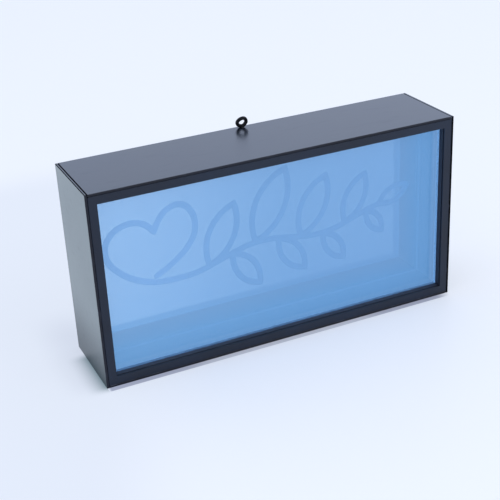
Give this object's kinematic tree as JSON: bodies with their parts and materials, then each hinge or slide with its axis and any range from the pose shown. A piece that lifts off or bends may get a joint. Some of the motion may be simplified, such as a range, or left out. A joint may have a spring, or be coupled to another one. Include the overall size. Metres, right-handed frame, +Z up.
{
  "type": "mirror light box",
  "caption": "Black box lamp: a recessed blue one-way window over a mirror engraved with a glowing heart and leafy vine, with a hanging eye on top and a slide switch and battery door behind.",
  "frame": {"origin": "middle of the underside, half way along the width and the depth", "axes": "+X to the right seen from the front, +Y from the front to the back, +Z up"},
  "size_m": [0.3, 0.07, 0.1649],
  "materials": {
    "case_sheet": "satin black sheet",
    "bezel_plate": "satin black sheet",
    "frame_plastic": "matt black",
    "cover_plastic": "fine grained black",
    "bay_plastic": "matt black",
    "chamber_plastic": "satin white",
    "dark_foam": "fine closed-cell foam",
    "white_foam": "fine closed-cell foam",
    "tinted_window": "clear blue half-mirror film on the back",
    "mirror_plate": "silvered",
    "light_line": "translucent, lit from behind",
    "opal_sheet": "opal satin",
    "white_plate": "matt white",
    "strip_film": "white solder mask",
    "lamp_body": "yellow phosphor in a white body",
    "steel": "zinc plated",
    "dark_steel": "blackened",
    "spring_steel": "nickel plated",
    "tinned_steel": "tin plated",
    "eye_wire": "gloss black",
    "cell_jacket": "plain jacket with bare metal ends",
    "board": "green solder mask",
    "component": "moulded black",
    "slider_plastic": "pale grey",
    "red_lead": "soft insulation",
    "black_lead": "soft insulation"
  },
  "bodies": {
    "case": {"left_end_panel": "case_sheet", "right_end_panel": "case_sheet", "top_panel": "case_sheet", "bottom_panel": "case_sheet", "front_bezel": "bezel_plate", "window_retainer": "frame_plastic", "window_tape": "dark_foam", "one_way_window": "tinted_window", "chamber_top_rail": "chamber_plastic", "chamber_bottom_rail": "chamber_plastic", "chamber_left_rail": "chamber_plastic", "chamber_right_rail": "chamber_plastic", "mirror_foam": "white_foam", "mirror_panel": "mirror_plate", "heart_light_line": "light_line", "vine_light_line": "light_line", "light_diffuser": "opal_sheet", "rear_top_rail": "frame_plastic", "rear_bottom_rail": "frame_plastic", "rear_left_rail": "frame_plastic", "rear_right_rail": "frame_plastic", "lamp_plate": "white_plate", "lamp_plate_screws": "steel", "lamp_strip": "strip_film", "lamps": "lamp_body", "hanging_eye": "eye_wire", "back_cover": "cover_plastic", "cover_screws": "dark_steel", "battery_housing": "bay_plastic", "battery_cells": "cell_jacket", "battery_springs": "spring_steel", "battery_contacts": "spring_steel", "control_board": "board", "board_components": "component", "board_screws": "steel", "switch_housing": "tinned_steel", "usb_inlet": "tinned_steel", "battery_lead_red": "red_lead", "battery_lead_black": "black_lead", "lamp_lead_red": "red_lead", "lamp_lead_black": "black_lead"},
    "door": {"battery_door": "cover_plastic"},
    "slider": {"switch_slider": "slider_plastic"}
  },
  "joints": [
    {"name": "battery_door_hinge", "type": "hinge", "parent": "case", "child": "door", "pos_m": [-0.062, 0.0318, 0.1015], "axis": [1, 0, 0], "range_deg": [0, 100]},
    {"name": "switch_slide", "type": "slide", "parent": "case", "child": "slider", "axis": [1, 0, 0], "range_m": [0, 0.004]}
  ]
}
